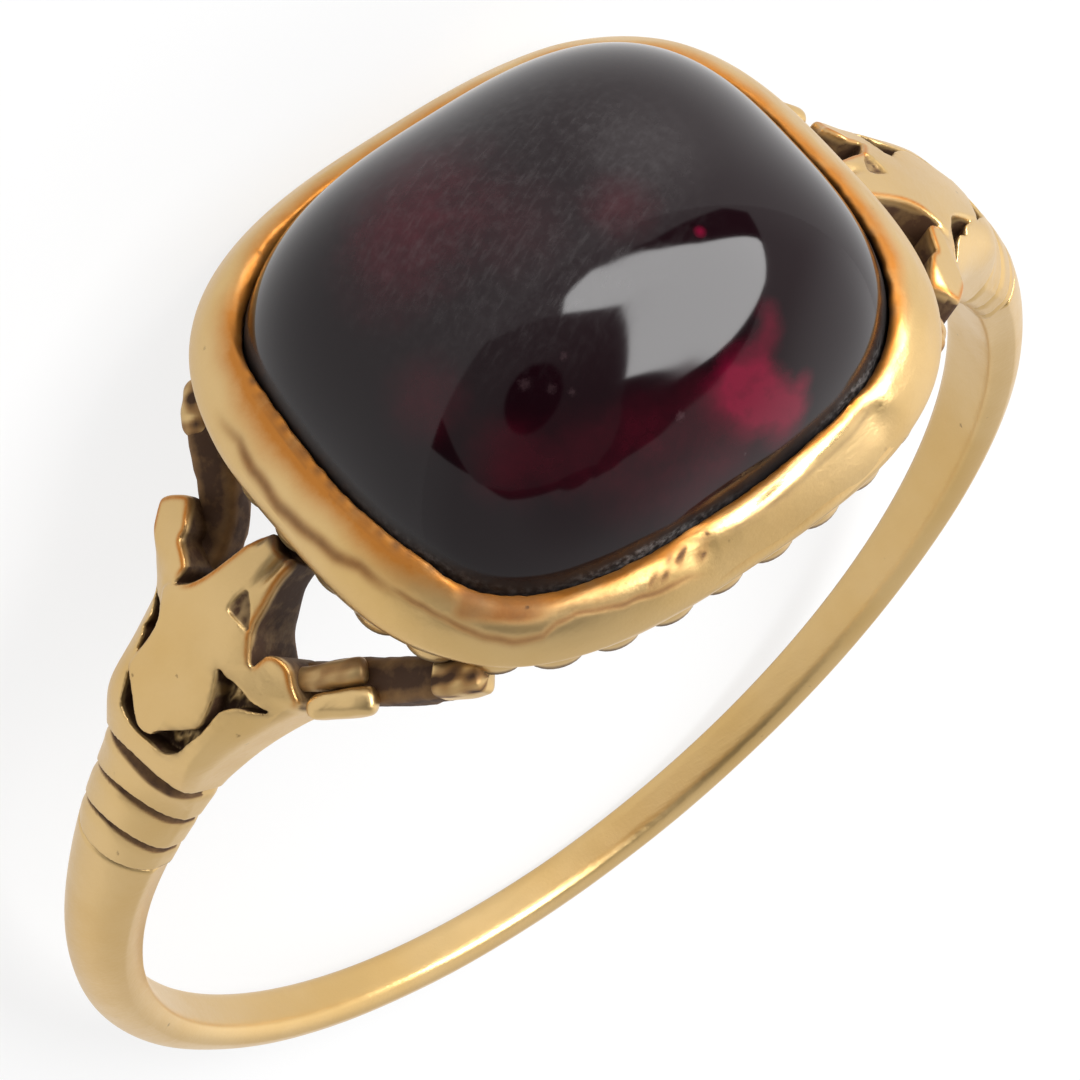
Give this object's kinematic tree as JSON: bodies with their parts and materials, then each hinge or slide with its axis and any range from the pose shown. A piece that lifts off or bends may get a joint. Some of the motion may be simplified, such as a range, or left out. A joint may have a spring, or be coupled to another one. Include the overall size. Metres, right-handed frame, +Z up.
{
  "type": "finger ring",
  "caption": "Finger ring with a high cushion cabochon in a closed, fluted gold collet, carried by forked leaf shoulders on a slim plain band.",
  "frame": {"origin": "on the table, under the middle of the bounding box", "axes": "+Z up from the table, the ring lying on its side; -Y towards the stone; X across the finger hole, through both shoulders"},
  "size_m": [0.0192, 0.0222, 0.0089],
  "materials": {
    "gold": "worn satin yellow gold, darkened in the recesses",
    "garnet": "polished dark red cabochon"
  },
  "bodies": {
    "root": {"gold_mount": "gold", "garnet": "garnet"}
  },
  "joints": []
}
